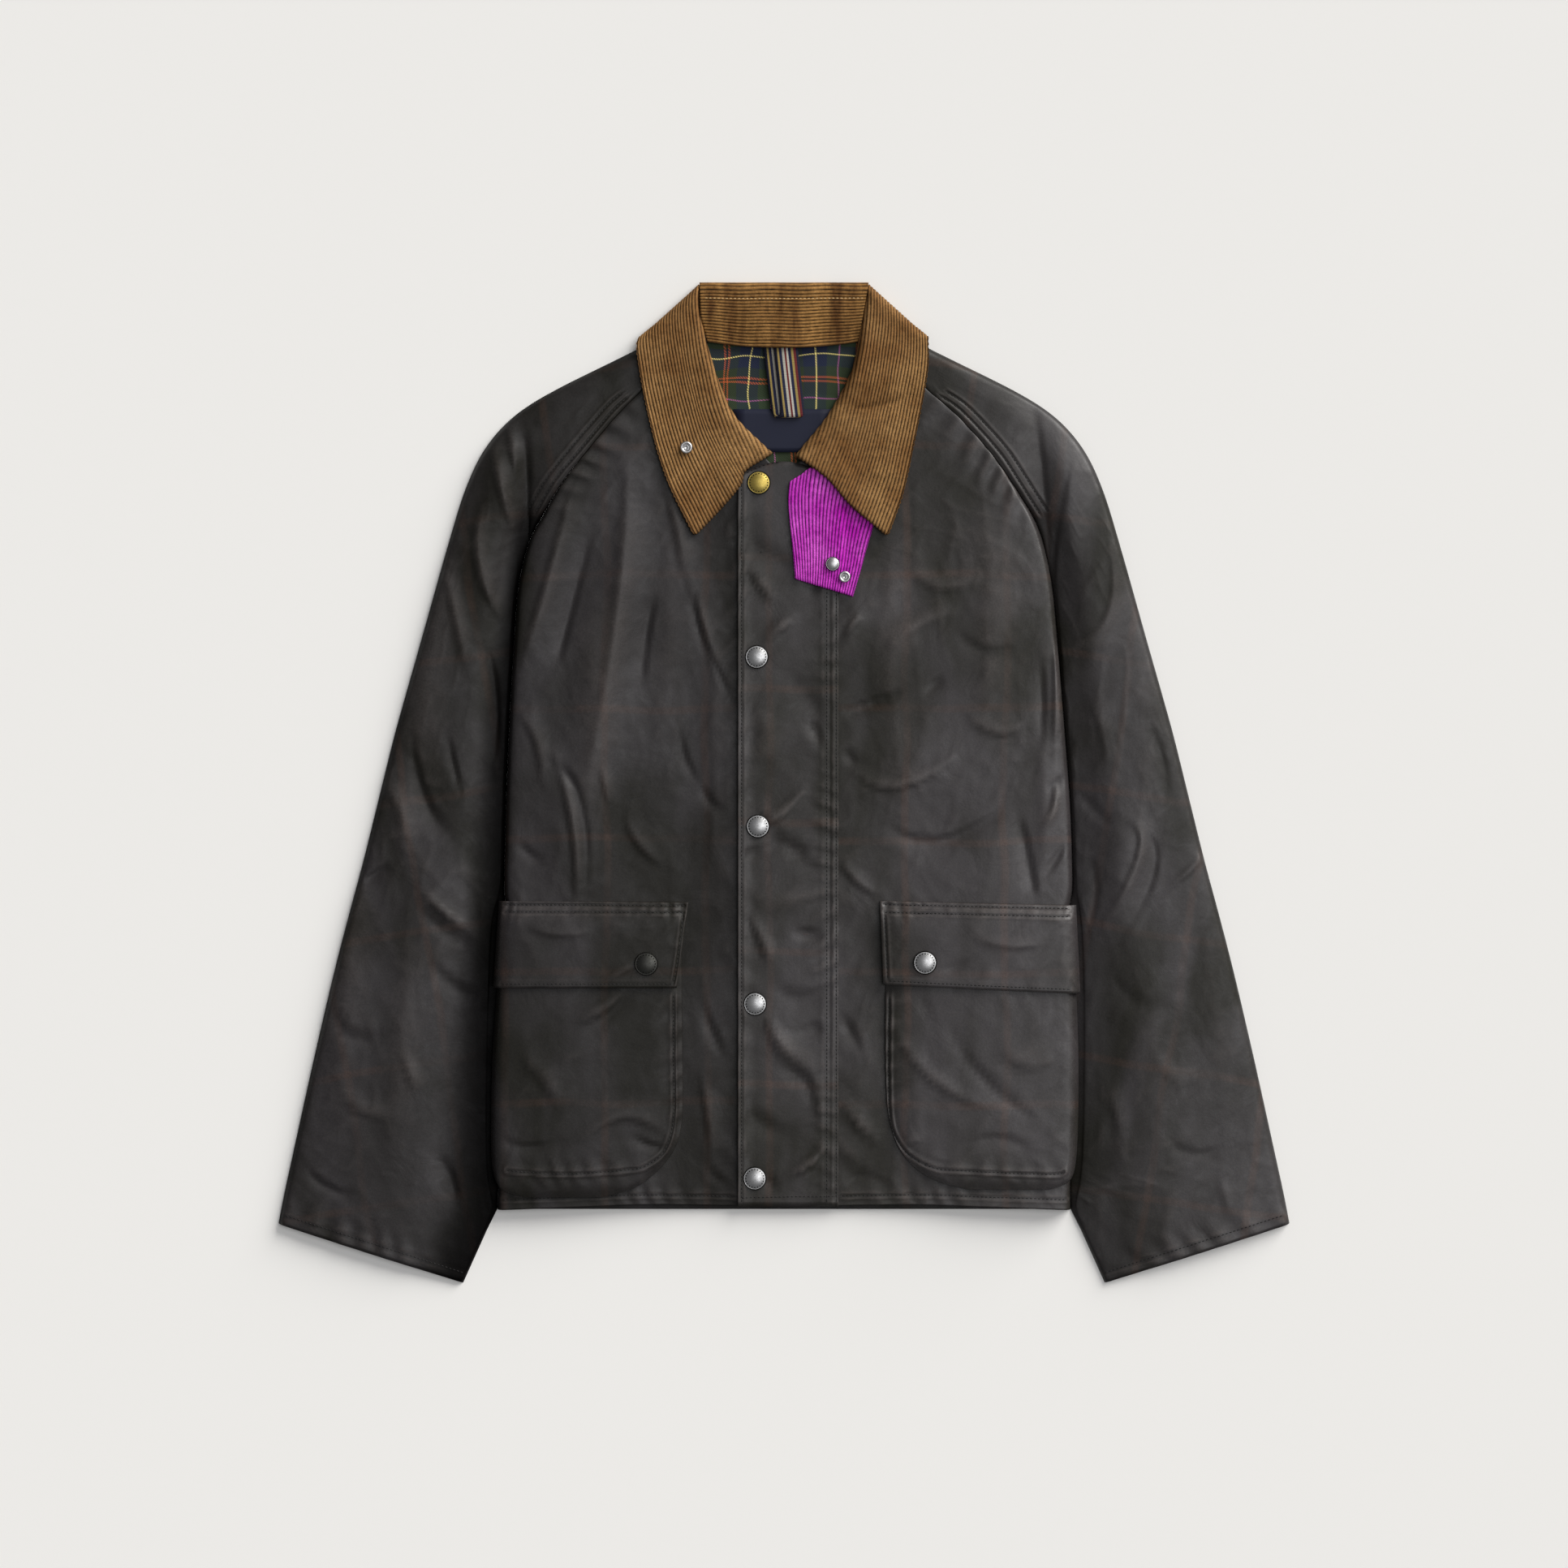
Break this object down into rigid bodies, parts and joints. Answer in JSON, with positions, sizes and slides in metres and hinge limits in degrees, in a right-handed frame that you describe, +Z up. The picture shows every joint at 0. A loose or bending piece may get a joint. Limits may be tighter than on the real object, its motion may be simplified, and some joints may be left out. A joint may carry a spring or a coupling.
{
  "type": "waxed cotton jacket",
  "caption": "Short waxed cotton jacket laid flat, with a corduroy collar, raglan sleeves, a studded storm flap and bellows pockets.",
  "frame": {"origin": "middle of the bounding box at the underside, where the back lies on the surface", "axes": "+X towards the wearer's left sleeve, +Y towards the collar, +Z up out of the front of the jacket"},
  "size_m": [0.7992, 0.7892, 0.0222],
  "materials": {
    "waxed_cotton": "waxed, satin and mottled",
    "collar_corduroy": "ribbed nap, matte",
    "tab_corduroy": "ribbed nap, matte",
    "checked_cotton": "woven check, matte",
    "label_satin": "woven satin",
    "striped_webbing": "woven stripes",
    "gunmetal": "dark nickel, worn",
    "brass": "satin, worn"
  },
  "bodies": {
    "root": {"back_panel": "waxed_cotton", "right_front": "waxed_cotton", "left_front": "waxed_cotton", "storm_flap": "waxed_cotton", "right_sleeve_front": "waxed_cotton", "left_sleeve_front": "waxed_cotton", "right_sleeve_back": "waxed_cotton", "left_sleeve_back": "waxed_cotton", "right_pocket": "waxed_cotton", "left_pocket": "waxed_cotton", "right_pocket_flap": "waxed_cotton", "left_pocket_flap": "waxed_cotton", "collar_stand": "collar_corduroy", "right_collar_leaf": "collar_corduroy", "left_collar_leaf": "collar_corduroy", "throat_tab": "tab_corduroy", "neck_lining": "checked_cotton", "neck_label": "label_satin", "hanger_loop": "striped_webbing", "flap_stud_1": "gunmetal", "flap_stud_2": "gunmetal", "flap_stud_3": "gunmetal", "flap_stud_4": "gunmetal", "right_pocket_stud": "gunmetal", "left_pocket_stud": "gunmetal", "tab_stud": "gunmetal", "tab_socket": "gunmetal", "collar_stud": "gunmetal", "neck_stud": "brass"}
  },
  "joints": []
}
